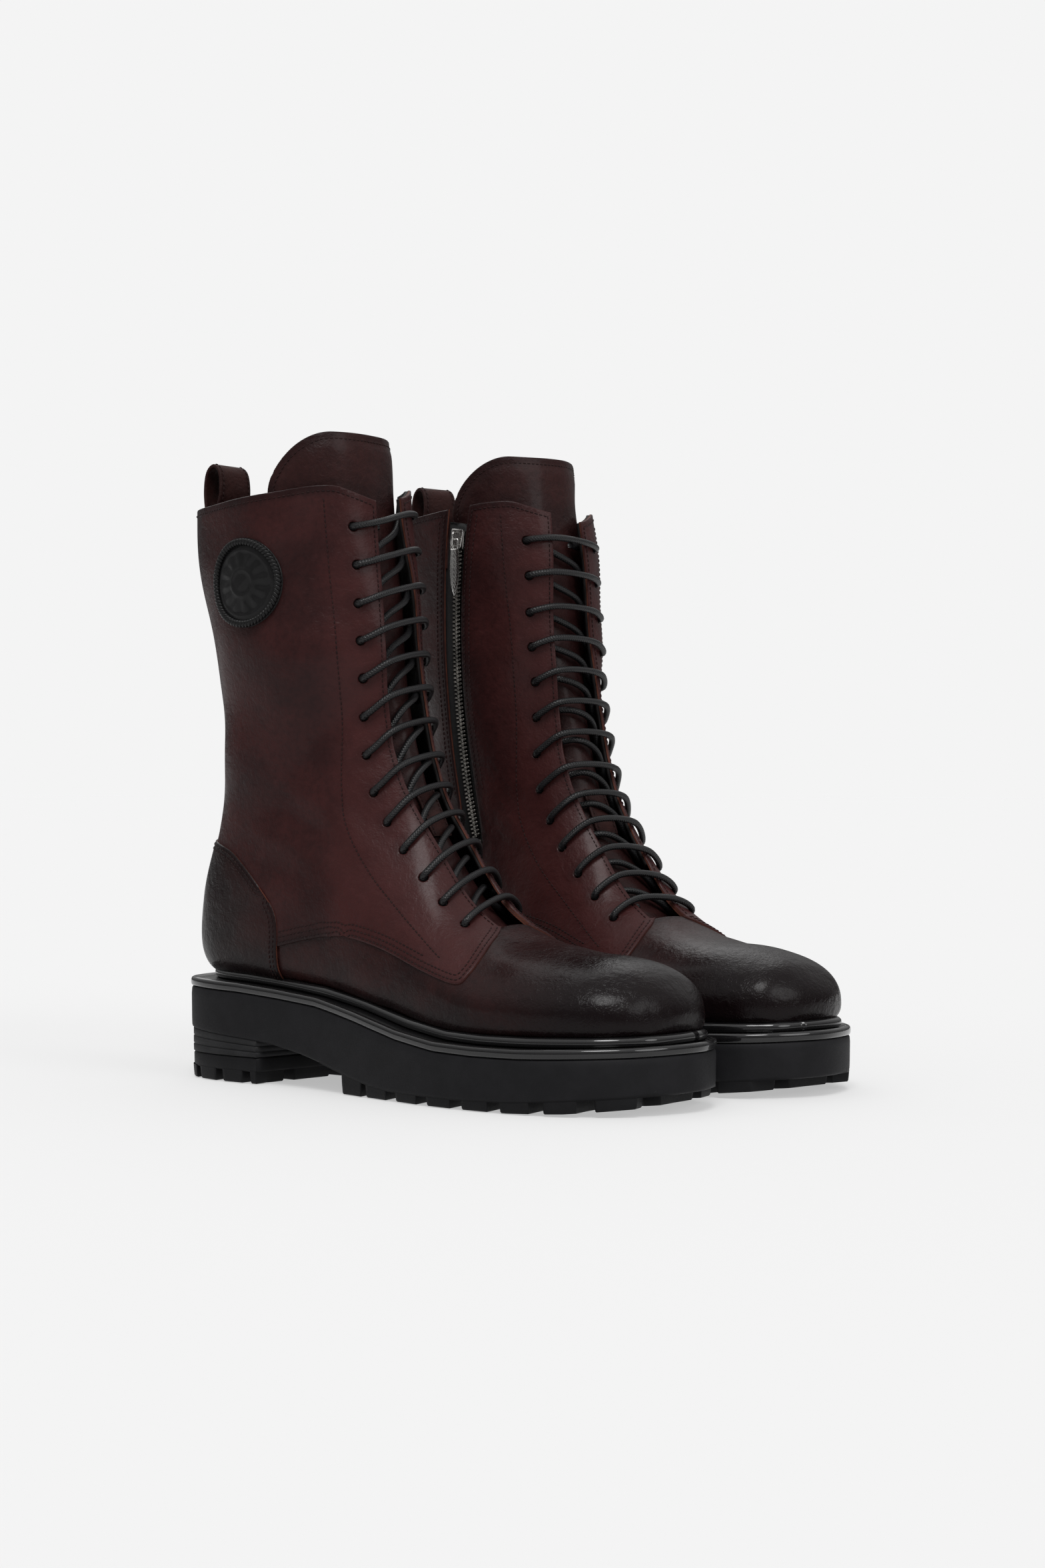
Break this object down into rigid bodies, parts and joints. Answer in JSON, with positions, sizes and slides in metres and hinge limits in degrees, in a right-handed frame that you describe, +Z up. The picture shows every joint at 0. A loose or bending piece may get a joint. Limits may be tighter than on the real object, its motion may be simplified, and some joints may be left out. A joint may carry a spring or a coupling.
{
  "type": "pair of lace-up combat boots",
  "caption": "Pair of tall lace-up leather combat boots with an inside zip, sewn panels, heel counter, pull loop, side badge and lugged rubber sole.",
  "frame": {"origin": "on the floor, in the middle of the footprint of the pair", "axes": "+Z up, the toes point to -Y, the right boot stands at -X"},
  "size_m": [0.2458, 0.3188, 0.326],
  "materials": {
    "upper_leather": "burnished fine grain",
    "toe_counter_leather": "burnished near-black, semi gloss",
    "strap_leather": "fine grain",
    "tongue_leather": "soft grain",
    "lining_leather": "matt",
    "badge_leather": "embossed, waxed",
    "welt_rubber": "satin",
    "sole_rubber": "matt",
    "stack_rubber": "matt, dusty",
    "tread_rubber": "matt",
    "fibreboard": "pressed fibreboard",
    "shank_steel": "tempered",
    "zip_metal": "antique silver",
    "slider_metal": "polished nickel",
    "zip_fabric": "woven tape",
    "lace_cord": "waxed round braid"
  },
  "bodies": {
    "right_boot": {"right_welt": "welt_rubber", "right_midsole": "sole_rubber", "right_outsole_forepart": "tread_rubber", "right_heel_stack": "stack_rubber", "right_heel_top_piece": "tread_rubber", "right_insole_board": "fibreboard", "right_footbed": "lining_leather", "right_shank": "shank_steel", "right_vamp": "upper_leather", "right_heel_counter": "toe_counter_leather", "right_quarter_outer": "upper_leather", "right_quarter_inner_front": "upper_leather", "right_quarter_inner_rear": "upper_leather", "right_toe_puff": "fibreboard", "right_heel_stiffener": "fibreboard", "right_vamp_lining": "lining_leather", "right_lining_outer": "lining_leather", "right_lining_inner_front": "lining_leather", "right_lining_inner_rear": "lining_leather", "right_lace": "lace_cord", "right_pull_loop": "strap_leather", "right_back_keeper": "strap_leather", "right_side_medallion": "badge_leather", "right_zip_tape": "zip_fabric", "right_zip_teeth": "zip_metal"},
    "right_slider_body": {"right_zip_slider": "slider_metal"},
    "right_pull_body": {"right_zip_pull": "slider_metal"},
    "right_tongue_body": {"right_tongue": "tongue_leather", "right_tongue_lace_loop": "strap_leather"},
    "left_boot": {"left_welt": "welt_rubber", "left_midsole": "sole_rubber", "left_outsole_forepart": "tread_rubber", "left_heel_stack": "stack_rubber", "left_heel_top_piece": "tread_rubber", "left_insole_board": "fibreboard", "left_footbed": "lining_leather", "left_shank": "shank_steel", "left_vamp": "upper_leather", "left_heel_counter": "toe_counter_leather", "left_quarter_outer": "upper_leather", "left_quarter_inner_front": "upper_leather", "left_quarter_inner_rear": "upper_leather", "left_toe_puff": "fibreboard", "left_heel_stiffener": "fibreboard", "left_vamp_lining": "lining_leather", "left_lining_outer": "lining_leather", "left_lining_inner_front": "lining_leather", "left_lining_inner_rear": "lining_leather", "left_lace": "lace_cord", "left_pull_loop": "strap_leather", "left_back_keeper": "strap_leather", "left_side_medallion": "badge_leather", "left_zip_tape": "zip_fabric", "left_zip_teeth": "zip_metal"},
    "left_slider_body": {"left_zip_slider": "slider_metal"},
    "left_pull_body": {"left_zip_pull": "slider_metal"},
    "left_tongue_body": {"left_tongue": "tongue_leather", "left_tongue_lace_loop": "strap_leather"}
  },
  "joints": [
    {"name": "right_zip_slide", "type": "hinge", "parent": "right_boot", "child": "right_slider_body", "pos_m": [-0.09716, -0.39175, 0.21639], "axis": [-0.986, 0.158, 0.0525], "range_deg": [0, 17.3]},
    {"name": "right_pull_swing", "type": "hinge", "parent": "right_slider_body", "child": "right_pull_body", "pos_m": [-0.01745, 0.07861, 0.28152], "axis": [0, -1, 0], "range_deg": [0, 150]},
    {"name": "right_tongue_tilt", "type": "hinge", "parent": "right_boot", "child": "right_tongue_body", "pos_m": [-0.06312, -0.04057, 0.07], "axis": [-1, 0, 0], "range_deg": [0, 4]},
    {"name": "left_boot_lift", "type": "slide", "parent": "right_boot", "child": "left_boot", "axis": [0, 0, 1], "range_m": [0, 0.35]},
    {"name": "left_zip_slide", "type": "hinge", "parent": "left_boot", "child": "left_slider_body", "pos_m": [0.00527, -0.40774, 0.21639], "axis": [-0.9973, 0.051, -0.0525], "range_deg": [0, 17.3]},
    {"name": "left_pull_swing", "type": "hinge", "parent": "left_slider_body", "child": "left_pull_body", "pos_m": [0.02537, 0.0689, 0.28152], "axis": [0.2085, 0.978, 0], "range_deg": [0, 150]},
    {"name": "left_tongue_tilt", "type": "hinge", "parent": "left_boot", "child": "left_tongue_body", "pos_m": [0.04519, -0.05718, 0.07], "axis": [-0.978, 0.2085, 0], "range_deg": [0, 4]}
  ]
}
